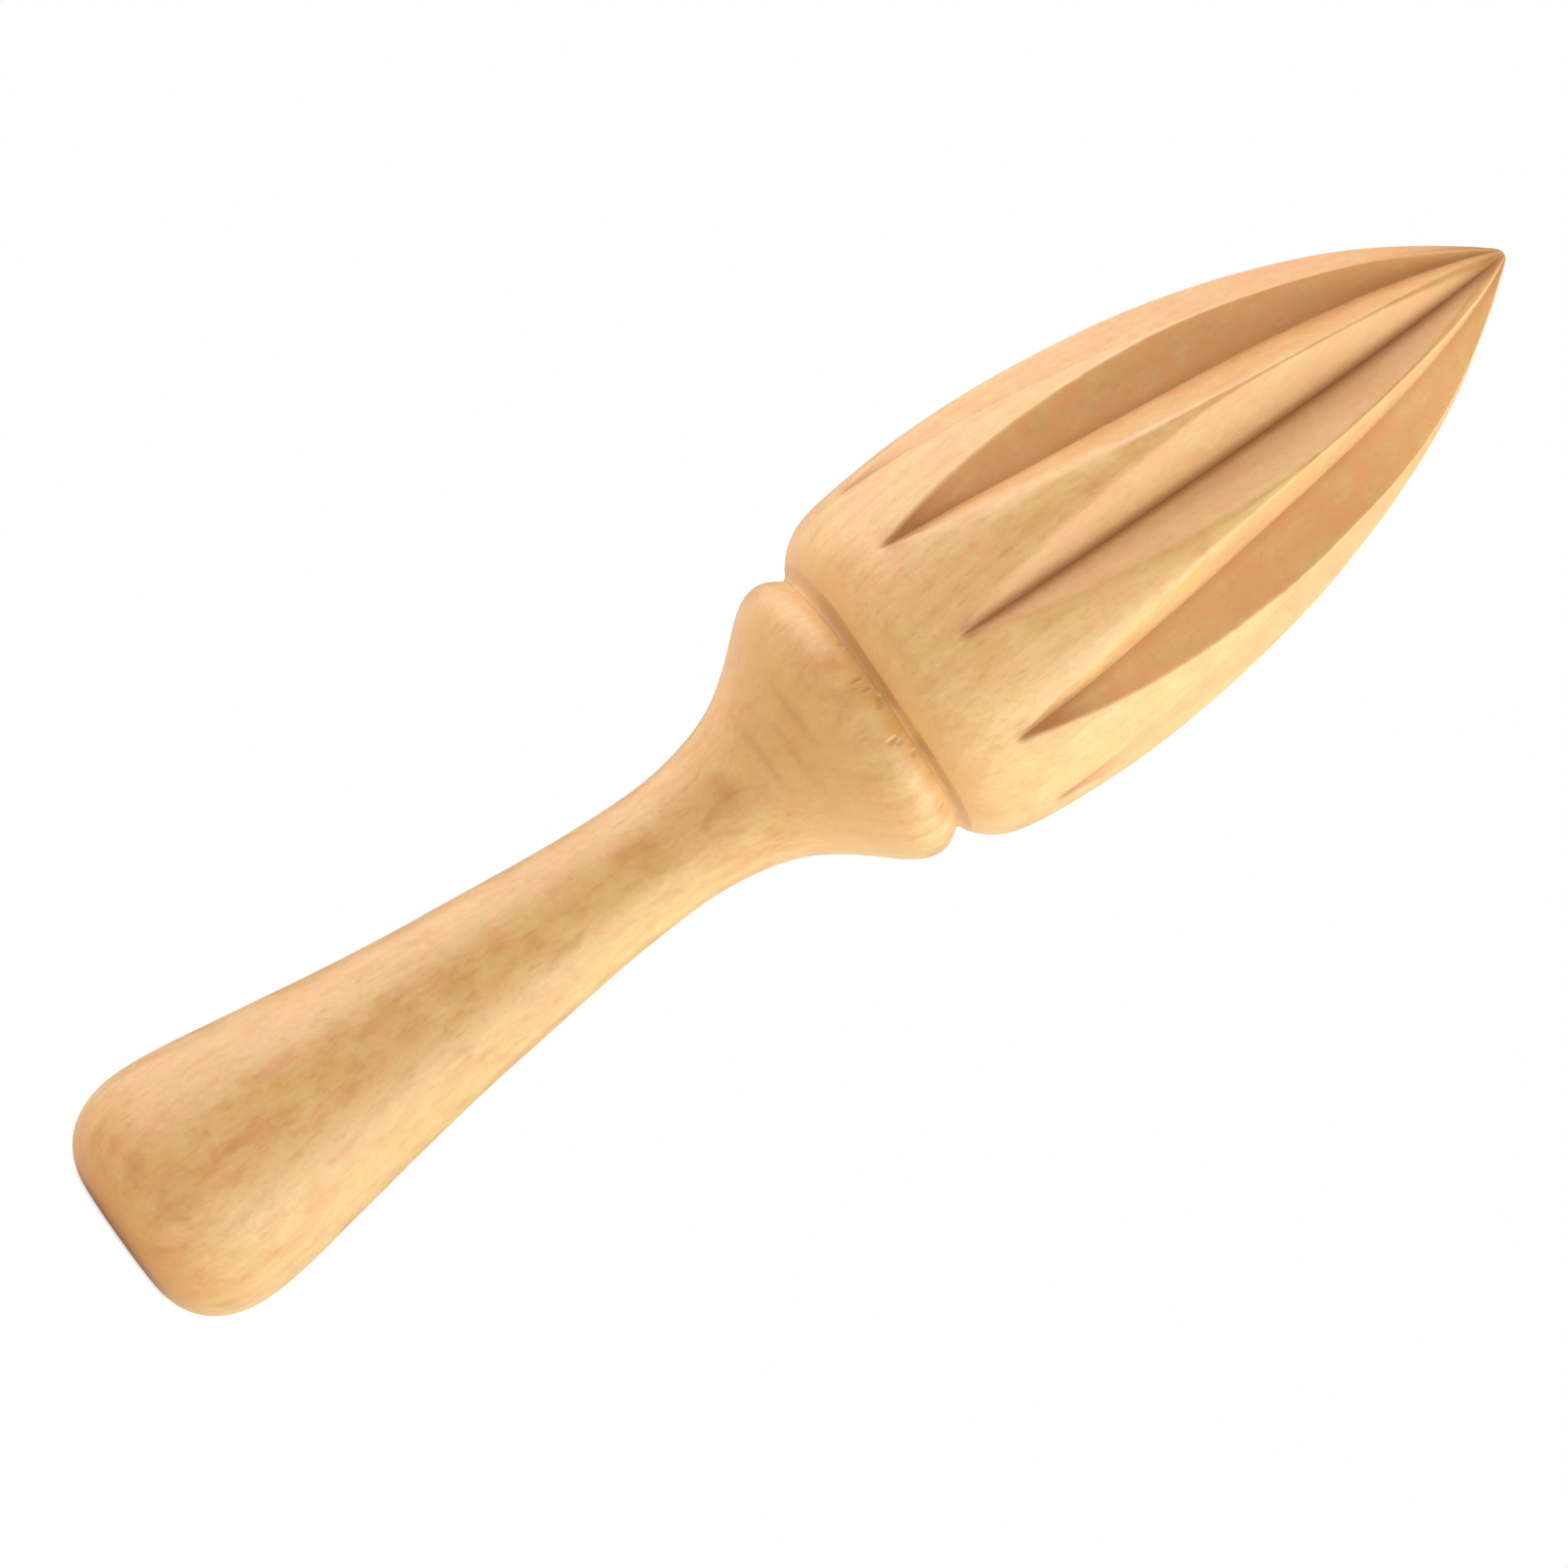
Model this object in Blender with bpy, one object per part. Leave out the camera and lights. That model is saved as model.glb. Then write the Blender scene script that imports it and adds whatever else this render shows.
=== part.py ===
"""Wooden lemon squeezer: a turned handle glued into a turned and fluted
reamer head.

Frame: metres, +Z up.  The squeezer stands on its flat butt, with the origin
at the centre of the butt face and +Z along the turning axis to the tip.
The flute that faces the viewer in a front view lies on the -Y side.
"""
import bpy
import bmesh
import math

MM = 0.001

# ---------------------------------------------------------------- dimensions
LENGTH = 164.6 * MM          # butt face to tip
JOINT_GAP = 0.3 * MM         # glue line between collar and head, and in socket

# handle, from the butt up: height and radius of each turned feature
BUTT_FLAT_R = 6.7 * MM       # flat face that the squeezer stands on
BUTT_R, BUTT_Z = 13.07 * MM, 8.3 * MM       # fullest part of the grip
BUTT_DOME = 3.6 * MM, 0.3 * MM              # width and rise of the butt's dome
BUTT_CORNER = 5.0 * MM                      # height of the corner's upper half
GRIP_R, GRIP_Z, GRIP_SLOPE = 11.6 * MM, 19.6 * MM, -0.165
WAIST_R, WAIST_Z, WAIST_SLOPE = 8.55 * MM, 39.6 * MM, -0.107
NECK_R, NECK_Z = 6.49 * MM, 63.8 * MM       # thinnest part
FLARE_A_R, FLARE_A_Z, FLARE_A_SLOPE = 7.06 * MM, 69.6 * MM, 0.205
FLARE_B_R, FLARE_B_Z, FLARE_B_SLOPE = 9.12 * MM, 75.6 * MM, 0.585
FLARE_C_R, FLARE_C_Z, FLARE_C_SLOPE = 13.37 * MM, 81.1 * MM, 0.915
COLLAR_R, COLLAR_Z = 15.7 * MM, 85.4 * MM   # fullest part of the collar
COLLAR_TOP_Z = 88.0 * MM                    # face that the head is glued to
COLLAR_TOP_R = 14.6 * MM                    # where the rim's rounding ends

# tenon on the handle and its socket in the head
TENON_R = 5.5 * MM
TENON_LENGTH = 22.0 * MM
TENON_CHAMFER = 0.8 * MM
SOCKET_END_GAP = 0.6 * MM

# reamer head
HEAD_BASE_Z = COLLAR_TOP_Z + JOINT_GAP
HEAD_BASE_R = 14.8 * MM
UNDERCUT_Z = 88.5 * MM                      # where the groove's upper side starts
RIM_R, RIM_Z = 15.75 * MM, 88.96 * MM       # lower edge of the shoulder
SHOULDER_R, SHOULDER_Z, SHOULDER_SLOPE = 18.86 * MM, 95.6 * MM, 0.11
HEAD_R, HEAD_Z = 19.52 * MM, 105.6 * MM     # fullest part of the head
OGIVE_A_R, OGIVE_A_Z, OGIVE_A_SLOPE = 18.64 * MM, 119.6 * MM, -0.127
OGIVE_B_R, OGIVE_B_Z, OGIVE_B_SLOPE = 15.79 * MM, 134.6 * MM, -0.276
OGIVE_C_R, OGIVE_C_Z, OGIVE_C_SLOPE = 10.36 * MM, 149.6 * MM, -0.472
OGIVE_D_R, OGIVE_D_Z, OGIVE_D_SLOPE = 4.36 * MM, 159.6 * MM, -0.71
NOSE_R, NOSE_Z, NOSE_SLOPE = 1.0 * MM, 164.0 * MM, -0.83

# flutes: V-section channels milled from the shoulder to the tip
FLUTES = 10
FLUTE_HALF_ANGLE = math.radians(54.5)
FLUTE_START_TURN = math.radians(-0.6)       # at the shoulder
FLUTE_END_TURN = math.radians(5.5)          # at the tip; the channels drift
FLUTE_RUNOUT_R, FLUTE_RUNOUT_Z, FLUTE_RUNOUT_SLOPE = 19.03 * MM, 96.8 * MM, -0.15
FLOOR_A_R, FLOOR_A_Z, FLOOR_A_SLOPE = 13.9 * MM, 124.6 * MM, -0.225
FLOOR_B_R, FLOOR_B_Z, FLOOR_B_SLOPE = 9.27 * MM, 144.6 * MM, -0.285
FLOOR_C_R, FLOOR_C_Z, FLOOR_C_SLOPE = 3.55 * MM, 159.6 * MM, -0.52
FLOOR_D_R, FLOOR_D_Z, FLOOR_D_SLOPE = 0.7 * MM, 164.2 * MM, -0.75

LAND_MIN = math.radians(1.2)                # narrowest land between flutes

HANDLE_SIDES = 64
LAND_STEP = math.radians(4.6)               # facets across a land
FLUTE_RINGS = 26
SOCKET_SIDES = 40


# ------------------------------------------------------------ curve functions
def hermite(knot_a, knot_b, z):
    """Radius at height z on the cubic between two (radius, height, slope)."""
    r0, z0, m0 = knot_a
    r1, z1, m1 = knot_b
    h = z1 - z0
    t = (z - z0) / h
    return ((2 * t**3 - 3 * t**2 + 1) * r0 + (t**3 - 2 * t**2 + t) * h * m0
            + (3 * t**2 - 2 * t**3) * r1 + (t**3 - t**2) * h * m1)


def curve_radius(knots, z):
    """Radius at height z on a chain of knots in rising height."""
    for knot_a, knot_b in zip(knots, knots[1:]):
        if z <= knot_b[1]:
            return hermite(knot_a, knot_b, z)
    return hermite(knots[-2], knots[-1], z)


def chain(knots, steps):
    """Points (radius, height) along knots; steps holds one count per span."""
    points = [(knots[0][0], knots[0][1])]
    for knot_a, knot_b, count in zip(knots, knots[1:], steps):
        for i in range(1, count + 1):
            z = knot_a[1] + (knot_b[1] - knot_a[1]) * i / count
            points.append((hermite(knot_a, knot_b, z), z))
    return points


def bezier(p0, p1, p2, p3, count):
    """Points of a rounded corner, both ends included."""
    points = []
    for i in range(count + 1):
        t = i / count
        a, b, c, d = (1 - t)**3, 3 * (1 - t)**2 * t, 3 * (1 - t) * t**2, t**3
        points.append(tuple(a * p0[k] + b * p1[k] + c * p2[k] + d * p3[k]
                            for k in (0, 1)))
    return points


# ------------------------------------------------------------------- profiles
def handle_profile():
    """(radius, height) from the centre of the butt up to the tenon's end."""
    corner = bezier((BUTT_FLAT_R, 0.0),
                    (BUTT_FLAT_R + BUTT_DOME[0], BUTT_DOME[1]),
                    (BUTT_R, BUTT_Z - BUTT_CORNER),
                    (BUTT_R, BUTT_Z), 10)
    grip = chain([(BUTT_R, BUTT_Z, 0.0),
                  (GRIP_R, GRIP_Z, GRIP_SLOPE),
                  (WAIST_R, WAIST_Z, WAIST_SLOPE),
                  (NECK_R, NECK_Z, 0.0),
                  (FLARE_A_R, FLARE_A_Z, FLARE_A_SLOPE),
                  (FLARE_B_R, FLARE_B_Z, FLARE_B_SLOPE),
                  (FLARE_C_R, FLARE_C_Z, FLARE_C_SLOPE),
                  (COLLAR_R, COLLAR_Z, 0.0)], (3, 3, 4, 3, 4, 3, 4))
    rim = bezier((COLLAR_R, COLLAR_Z),
                 (COLLAR_R, COLLAR_Z + 1.2 * MM),
                 (COLLAR_TOP_R + 0.45 * MM, COLLAR_TOP_Z - 0.7 * MM),
                 (COLLAR_TOP_R, COLLAR_TOP_Z), 5)
    tenon_end = COLLAR_TOP_Z + TENON_LENGTH
    tenon = [(TENON_R, COLLAR_TOP_Z),
             (TENON_R, tenon_end - TENON_CHAMFER),
             (TENON_R - TENON_CHAMFER, tenon_end),
             (0.0, tenon_end)]
    return [(0.0, 0.0)] + corner + grip[1:] + rim[1:] + tenon


HEAD_KNOTS = [(SHOULDER_R, SHOULDER_Z, SHOULDER_SLOPE),
              (HEAD_R, HEAD_Z, 0.0),
              (OGIVE_A_R, OGIVE_A_Z, OGIVE_A_SLOPE),
              (OGIVE_B_R, OGIVE_B_Z, OGIVE_B_SLOPE),
              (OGIVE_C_R, OGIVE_C_Z, OGIVE_C_SLOPE),
              (OGIVE_D_R, OGIVE_D_Z, OGIVE_D_SLOPE),
              (NOSE_R, NOSE_Z, NOSE_SLOPE)]

FLOOR_KNOTS = [(FLUTE_RUNOUT_R, FLUTE_RUNOUT_Z, FLUTE_RUNOUT_SLOPE),
               (FLOOR_A_R, FLOOR_A_Z, FLOOR_A_SLOPE),
               (FLOOR_B_R, FLOOR_B_Z, FLOOR_B_SLOPE),
               (FLOOR_C_R, FLOOR_C_Z, FLOOR_C_SLOPE),
               (FLOOR_D_R, FLOOR_D_Z, FLOOR_D_SLOPE)]


def floor_radius(z):
    """Distance of the flutes' floor lines from the axis at height z."""
    if z < FLUTE_RUNOUT_Z:
        return FLUTE_RUNOUT_R + FLUTE_RUNOUT_SLOPE * (z - FLUTE_RUNOUT_Z)
    if z > FLOOR_D_Z:
        return max(FLOOR_D_R + FLOOR_D_SLOPE * (z - FLOOR_D_Z), 0.25 * MM)
    return curve_radius(FLOOR_KNOTS, z)


def flute_turn(z):
    """Angle by which the flutes have drifted round the axis at height z."""
    share = (z - FLUTE_RUNOUT_Z) / (LENGTH - FLUTE_RUNOUT_Z)
    return FLUTE_START_TURN + (FLUTE_END_TURN - FLUTE_START_TURN) * share


# --------------------------------------------------------------------- makers
def wood(name, colour, roughness):
    material = bpy.data.materials.new(name)
    material.use_nodes = True
    shader = material.node_tree.nodes["Principled BSDF"]
    shader.inputs["Base Color"].default_value = (*colour, 1.0)
    shader.inputs["Roughness"].default_value = roughness
    shader.inputs["Metallic"].default_value = 0.0
    material.diffuse_color = (*colour, 1.0)
    return material


def turned(name, profile, sides, material=None):
    """Solid of revolution by a Screw modifier, profile given bottom to top."""
    mesh = bpy.data.meshes.new(name)
    points = [(r, 0.0, z) for r, z in reversed(profile)]
    edges = [(i, i + 1) for i in range(len(points) - 1)]
    mesh.from_pydata(points, edges, [])
    mesh.update()
    obj = bpy.data.objects.new(name, mesh)
    bpy.context.scene.collection.objects.link(obj)
    screw = obj.modifiers.new("Turn", "SCREW")
    screw.axis = "Z"
    screw.angle = 2.0 * math.pi
    screw.steps = sides
    screw.render_steps = sides
    screw.use_merge_vertices = True
    screw.merge_threshold = 0.00001
    screw.use_smooth_shade = True
    if material is not None:
        mesh.materials.append(material)
    return obj


def cutter(obj):
    obj.hide_render = True
    obj.display_type = "WIRE"
    return obj


def flute_half_width(z, surface):
    """Half the angle that a flute spans at height z, seen from the axis.

    The walls leave the floor line at FLUTE_HALF_ANGLE to the radial plane;
    this is where they meet a surface of the given radius.
    """
    ratio = floor_radius(z) / surface
    return FLUTE_HALF_ANGLE - math.asin(ratio * math.sin(FLUTE_HALF_ANGLE))


def runout_height():
    """Height at which the floor lines come out through the turned surface."""
    low, high = SHOULDER_Z, HEAD_Z
    for _ in range(60):
        middle = 0.5 * (low + high)
        if floor_radius(middle) > head_radius(middle):
            low = middle
        else:
            high = middle
    return high


def head_radius(z):
    """Radius of the turned blank at height z, above the shoulder."""
    return curve_radius(HEAD_KNOTS, z)


def stitch(bm, lower, upper):
    """Faces between two rows of vertices that run the same way."""
    i = j = 0
    while i < len(lower) - 1 or j < len(upper) - 1:
        next_i = (i + 1) / max(len(lower) - 1, 1)
        next_j = (j + 1) / max(len(upper) - 1, 1)
        can_i, can_j = i < len(lower) - 1, j < len(upper) - 1
        if can_i and can_j and abs(next_i - next_j) < 1e-6:
            bm.faces.new((lower[i], lower[i + 1], upper[j + 1], upper[j]))
            i, j = i + 1, j + 1
        elif can_i and (not can_j or next_i < next_j):
            bm.faces.new((lower[i], lower[i + 1], upper[j]))
            i += 1
        else:
            bm.faces.new((lower[i], upper[j + 1], upper[j]))
            j += 1


def head_ring(bm, z, surface, fluted):
    """One cross-section of the head: for each flute its rows of vertices.

    Every flute gives three rows: left wall, right wall and the land up to
    the next flute.  Where there is no flute the wall rows are one vertex.
    """
    pitch = 2.0 * math.pi / FLUTES
    turn = flute_turn(z) - math.pi / 2.0          # first flute faces -Y

    def point(radius, angle):
        return bm.verts.new((radius * math.cos(angle),
                             radius * math.sin(angle), z))

    half = 0.0
    if fluted:
        half = min(flute_half_width(z, surface), pitch / 2.0 - LAND_MIN / 2.0)
    land = pitch - 2.0 * half
    count = max(1, round(land / LAND_STEP))
    # narrow lands: the wall meets the land a little below the turned surface
    wall_top = min(surface,
                   floor_radius(z) * math.sin(FLUTE_HALF_ANGLE)
                   / math.sin(FLUTE_HALF_ANGLE - half))
    rings = []
    for k in range(FLUTES):
        centre = turn + k * pitch
        if fluted:
            left = point(wall_top, centre - half)
            floor = point(floor_radius(z), centre)
            right = point(wall_top, centre + half)
        else:
            left = floor = right = point(surface, centre)
        inner = [point(wall_top if fluted else surface,
                       centre + half + land * i / count)
                 for i in range(1, count)]
        rings.append({"left": [left, floor] if fluted else [floor],
                      "right": [floor, right] if fluted else [floor],
                      "land": [right] + inner})
    for k, part in enumerate(rings):
        part["land"].append(rings[(k + 1) % FLUTES]["left"][0])
    return rings


def ring_outline(ring):
    outline = []
    for part in ring:
        for row in (part["left"], part["right"], part["land"]):
            for vertex in row[:-1] if len(row) > 1 else []:
                outline.append(vertex)
    return outline


def fluted_head(name, material):
    """Turned and fluted head, skinned ring by ring from base to tip."""
    bm = bmesh.new()
    start = runout_height()
    shoulder = [(HEAD_BASE_R, HEAD_BASE_Z), (HEAD_BASE_R, UNDERCUT_Z)]
    shoulder += bezier((RIM_R, RIM_Z),
                       (RIM_R + 2.2 * MM, RIM_Z + 1.64 * MM),
                       (SHOULDER_R - 2.6 * MM * SHOULDER_SLOPE,
                        SHOULDER_Z - 2.6 * MM),
                       (SHOULDER_R, SHOULDER_Z), 6)
    rings = [head_ring(bm, z, r, False) for r, z in shoulder]
    rings.append(head_ring(bm, start, head_radius(start), False))
    for i in range(1, FLUTE_RINGS + 1):
        z = start + (NOSE_Z - start) * i / FLUTE_RINGS
        rings.append(head_ring(bm, z, head_radius(z), True))
    for lower, upper in zip(rings, rings[1:]):
        for low, up in zip(lower, upper):
            for row in ("left", "right", "land"):
                stitch(bm, low[row], up[row])
    tip = bm.verts.new((0.0, 0.0, LENGTH))
    last = ring_outline(rings[-1])
    for i, vertex in enumerate(last):
        bm.faces.new((vertex, last[(i + 1) % len(last)], tip))
    bm.faces.new(list(reversed(ring_outline(rings[0]))))
    bmesh.ops.recalc_face_normals(bm, faces=bm.faces[:])
    mesh = bpy.data.meshes.new(name)
    bm.to_mesh(mesh)
    bm.free()
    mesh.materials.append(material)
    obj = bpy.data.objects.new(name, mesh)
    bpy.context.scene.collection.objects.link(obj)
    return obj


def boolean(obj, other, operation):
    modifier = obj.modifiers.new(other.name, "BOOLEAN")
    modifier.operation = operation
    modifier.solver = "EXACT"
    modifier.object = other
    return modifier


# ---------------------------------------------------------------------- build
for old in list(bpy.data.objects):
    bpy.data.objects.remove(old, do_unlink=True)

handle_wood = wood("handle_wood", (0.80, 0.52, 0.27), 0.48)
head_wood = wood("head_wood", (0.82, 0.55, 0.30), 0.50)

# handle: flat butt, grip, neck, flared collar and tenon in one turning
handle = turned("handle", handle_profile(), HANDLE_SIDES, handle_wood)

# reamer head: turned and fluted, with the socket bored from below
head = fluted_head("reamer_head", head_wood)
socket_profile = [(0.0, HEAD_BASE_Z - 2.0 * MM),
                  (TENON_R + JOINT_GAP, HEAD_BASE_Z - 2.0 * MM),
                  (TENON_R + JOINT_GAP,
                   COLLAR_TOP_Z + TENON_LENGTH + SOCKET_END_GAP),
                  (0.0, COLLAR_TOP_Z + TENON_LENGTH + SOCKET_END_GAP)]
socket = cutter(turned("socket_bore", socket_profile, SOCKET_SIDES))
boolean(head, socket, "DIFFERENCE")

for piece in (handle, head):
    piece.data.shade_smooth()
    piece.data.set_sharp_from_angle(angle=math.radians(28.0))
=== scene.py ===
import math

import bpy
import numpy as np
from mathutils import Matrix, Vector, noise


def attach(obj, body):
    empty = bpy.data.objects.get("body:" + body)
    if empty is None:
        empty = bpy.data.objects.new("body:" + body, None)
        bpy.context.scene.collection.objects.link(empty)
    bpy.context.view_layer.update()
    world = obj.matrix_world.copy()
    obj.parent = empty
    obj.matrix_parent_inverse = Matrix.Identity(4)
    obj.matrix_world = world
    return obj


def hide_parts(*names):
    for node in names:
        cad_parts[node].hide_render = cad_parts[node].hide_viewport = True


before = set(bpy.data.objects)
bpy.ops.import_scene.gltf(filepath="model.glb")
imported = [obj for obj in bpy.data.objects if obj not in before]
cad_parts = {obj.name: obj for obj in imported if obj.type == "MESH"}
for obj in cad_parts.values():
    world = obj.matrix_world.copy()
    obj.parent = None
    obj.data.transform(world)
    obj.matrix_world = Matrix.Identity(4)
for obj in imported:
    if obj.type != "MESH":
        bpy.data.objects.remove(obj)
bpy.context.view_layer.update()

MM = 0.001

# --------------------------------------------------------------- dimensions
# the same design values as the part, in millimetres
LENGTH = 164.6
JOINT_GAP = 0.3
BUTT_FLAT_R, BUTT_R, BUTT_Z = 6.7, 13.07, 8.3
BUTT_DOME, BUTT_CORNER = (3.6, 0.3), 5.0
COLLAR_R, COLLAR_Z, COLLAR_TOP_R, COLLAR_TOP_Z = 15.7, 85.4, 14.6, 88.0
GRIP_KNOTS = [(BUTT_R, BUTT_Z, 0.0), (11.6, 19.6, -0.165), (8.55, 39.6, -0.107),
              (6.49, 63.8, 0.0), (7.06, 69.6, 0.205), (9.12, 75.6, 0.585),
              (13.37, 81.1, 0.915), (COLLAR_R, COLLAR_Z, 0.0)]
TENON_R, TENON_LENGTH, TENON_CHAMFER, SOCKET_END_GAP = 5.5, 22.0, 0.8, 0.6
GLUE_LINE = 0.004               # the glued joint as it is seen
HEAD_BASE_R, HEAD_BASE_Z = 14.61, COLLAR_TOP_Z + GLUE_LINE
RIM_R, RIM_Z = 15.75, 88.96
SHOULDER_R, SHOULDER_Z, SHOULDER_SLOPE = 18.86, 95.6, 0.11
HEAD_KNOTS = [(SHOULDER_R, SHOULDER_Z, SHOULDER_SLOPE), (19.52, 105.6, 0.0),
              (18.64, 119.6, -0.127), (15.79, 134.6, -0.276),
              (10.36, 149.6, -0.472), (4.36, 159.6, -0.71), (1.0, 164.0, -0.83)]
NOSE_Z = 164.0
FLOOR_KNOTS = [(19.03, 96.8, -0.15), (13.9, 124.6, -0.225),
               (9.27, 144.6, -0.285), (3.55, 159.6, -0.52), (0.7, 164.2, -0.75)]
FLUTES = 10
FLUTE_HALF_ANGLE = math.radians(54.5)
FLUTE_START_TURN, FLUTE_END_TURN = math.radians(-0.6), math.radians(5.5)
FLUTE_START_Z = 96.8
LAND_MIN = math.radians(1.2)
# each flute was fed a little differently: sideways drift of its floor line
# towards the tip (degrees) and extra depth at its lower end (mm)
FLUTE_SKEW = [0.0, 0.3, -0.8, 1.2, -0.4, 0.9, -1.3, 0.5, 1.0, -3.6]
FLUTE_EXTRA = [0.15, 0.36, 0.16, 0.02, 0.22, 0.10, 0.18, 0.0, 0.14, 0.30]
# and the crest between each flute and the next wanders off its even place
# near the tip (degrees)
CREST_SHIFT = [0.0, 8.5, -1.0, 0.8, 1.5, -1.2, 0.6, -0.9, 1.1, 0.0]
# how much more the sanding rounded each flute's two edges (mm), the edge on
# its -X side seen from the front first
EDGE_SANDING = [(0.35, 0.55), (1.0, 0.0), (0.2, 0.5), (0.6, 0.1), (0.0, 0.7),
                (0.5, 0.2), (0.3, 0.9), (0.1, 0.4), (0.8, 0.2), (0.0, 1.1)]
# how dark each flute's floor line is painted: burn left by the cutter, with
# painted shade in the crease
VALLEY_BURN_AND_SHADE = [1.0, 0.35, 0.7, 0.9, 0.5, 0.8, 0.6, 0.9, 0.7, 0.35]
# and how much darker each flute's walls are made at its lower end
WALL_LOWER_DARKENING = [0.35, 1.0, 0.8, 0.6, 0.9, 0.7, 1.0, 0.5, 0.9, 1.0]

# the head's lower lip is not quite square to the axis: how much higher it
# sits (mm) at angles from the front (degrees, towards +X)
LIP_ANGLES = [-180, -125, -90, -65, -42, -27, -13, 5, 25, 50, 90, 140, 180]
LIP_RISE = [0.05, 0.12, 0.30, 0.46, 0.50, 0.28, 0.0, -0.16, -0.12, 0.0, 0.0,
            -0.08, 0.05]

HANDLE_COLUMNS = 480
PITCH_COLUMNS = 36


# ------------------------------------------------------------------- curves
def hermite(a, b, z):
    """Radius at height z on the cubic between two (radius, height, slope)."""
    h = b[1] - a[1]
    t = (z - a[1]) / h
    return ((2 * t**3 - 3 * t**2 + 1) * a[0] + (t**3 - 2 * t**2 + t) * h * a[2]
            + (3 * t**2 - 2 * t**3) * b[0] + (t**3 - t**2) * h * b[2])


def curve_radius(knots, z):
    for a, b in zip(knots, knots[1:]):
        if z <= b[1]:
            return hermite(a, b, z)
    return hermite(knots[-2], knots[-1], z)


def bezier(p0, p1, p2, p3, count):
    points = []
    for i in range(count + 1):
        t = i / count
        w = (1 - t)**3, 3 * (1 - t)**2 * t, 3 * (1 - t) * t**2, t**3
        points.append(tuple(sum(wi * p[k] for wi, p in zip(w, (p0, p1, p2, p3)))
                            for k in (0, 1)))
    return points


def head_radius(z):
    """Radius of the turned blank above the shoulder, with a rounded nose."""
    if z > NOSE_Z:
        left = max(LENGTH - z, 0.0)
        return math.sqrt(max(1.673 * left - 0.011 * left * left, 0.0))
    return curve_radius(HEAD_KNOTS, z)


def floor_radius(z):
    """Distance of the flutes' floor lines from the axis."""
    if z < FLOOR_KNOTS[0][1]:
        return FLOOR_KNOTS[0][0] + FLOOR_KNOTS[0][2] * (z - FLOOR_KNOTS[0][1])
    if z > FLOOR_KNOTS[-1][1]:
        return FLOOR_KNOTS[-1][0] + FLOOR_KNOTS[-1][2] * (z - FLOOR_KNOTS[-1][1])
    return curve_radius(FLOOR_KNOTS, z)


def flute_turn(z):
    share = (z - FLUTE_START_Z) / (LENGTH - FLUTE_START_Z)
    return FLUTE_START_TURN + (FLUTE_END_TURN - FLUTE_START_TURN) * share


def soft_min(a, b, k):
    """The smaller of a and b, with the corner between them rounded by k."""
    h = np.maximum(k - np.abs(a - b), 0.0) / k
    return np.minimum(a, b) - h * h * k * 0.25


def bump_at(x, centre, width):
    return math.exp(-((x - centre) / width)**2)


# ------------------------------------------------------------------- meshes
def lathe_mesh(name, rings, bottom, top, masks):
    """Closed mesh through rings of points (mm), with a point at each end.

    rings: list of (n, 3) arrays, each running the same way round.
    masks: name -> list of one (n,) array per ring, kept as attributes.
    """
    n = len(rings[0])
    points = np.concatenate([np.concatenate(rings),
                             np.array([bottom, top], float)]) * MM
    low, high = len(points) - 2, len(points) - 1
    i = np.arange(n)
    j = (i + 1) % n
    quads = []
    for k in range(len(rings) - 1):
        a, b = k * n, (k + 1) * n
        quads.append(np.stack([a + i, a + j, b + j, b + i], 1))
    quads = np.concatenate(quads)
    last = (len(rings) - 1) * n
    fans = np.concatenate([np.stack([np.full(n, low), j, i], 1),
                           np.stack([last + i, last + j, np.full(n, high)], 1)])
    mesh = bpy.data.meshes.new(name)
    mesh.vertices.add(len(points))
    mesh.vertices.foreach_set("co", points.astype(np.float32).ravel())
    loops = np.concatenate([quads.ravel(), fans.ravel()])
    mesh.loops.add(len(loops))
    mesh.loops.foreach_set("vertex_index", loops.astype(np.int32))
    sizes = np.concatenate([np.full(len(quads), 4), np.full(len(fans), 3)])
    starts = np.concatenate([[0], np.cumsum(sizes)[:-1]])
    mesh.polygons.add(len(sizes))
    mesh.polygons.foreach_set("loop_start", starts.astype(np.int32))
    mesh.update(calc_edges=True)
    mesh.validate()
    for label, rows in masks.items():
        values = np.concatenate([np.concatenate(rows), [0.0, 0.0]])
        attribute = mesh.attributes.new(label, "FLOAT", "POINT")
        attribute.data.foreach_set("value", values.astype(np.float32))
    mesh.shade_smooth()
    mesh.set_sharp_from_angle(angle=math.radians(62.0))
    obj = bpy.data.objects.new(name, mesh)
    bpy.context.scene.collection.objects.link(obj)
    return obj


def circle(radius, z, angles):
    return np.stack([radius * np.cos(angles), radius * np.sin(angles),
                     np.full(len(angles), z)], 1)


def wander(seed, *coordinates):
    """Smooth noise from 0 to 1."""
    return 0.5 + 0.5 * noise.noise(Vector(coordinates) + Vector((seed, 0, 0)))


# torn fibres on the collar's rim, beside the joint: angle from the front
# (degrees, towards +X), height, half width, half height, depth (mm)
CHIPS = [(-9.5, 86.7, 0.28, 0.85, 0.20), (-7.0, 86.2, 0.20, 0.60, 0.16),
         (-4.8, 87.0, 0.24, 0.70, 0.18), (0.6, 87.5, 0.55, 0.50, 0.26),
         (3.2, 87.2, 0.20, 0.60, 0.15), (15.4, 86.3, 0.24, 0.65, 0.18),
         (17.6, 86.8, 0.20, 0.50, 0.14), (24.5, 87.4, 0.30, 0.40, 0.14),
         (-24, 87.6, 0.30, 0.35, 0.12), (52, 87.1, 0.26, 0.60, 0.16),
         (97, 86.8, 0.30, 0.60, 0.20), (101, 87.2, 0.22, 0.50, 0.15),
         (131, 87.1, 0.25, 0.70, 0.18), (173, 86.6, 0.35, 0.60, 0.22),
         (-142, 87.2, 0.25, 0.60, 0.18), (-88, 87.0, 0.22, 0.55, 0.14)]
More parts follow.
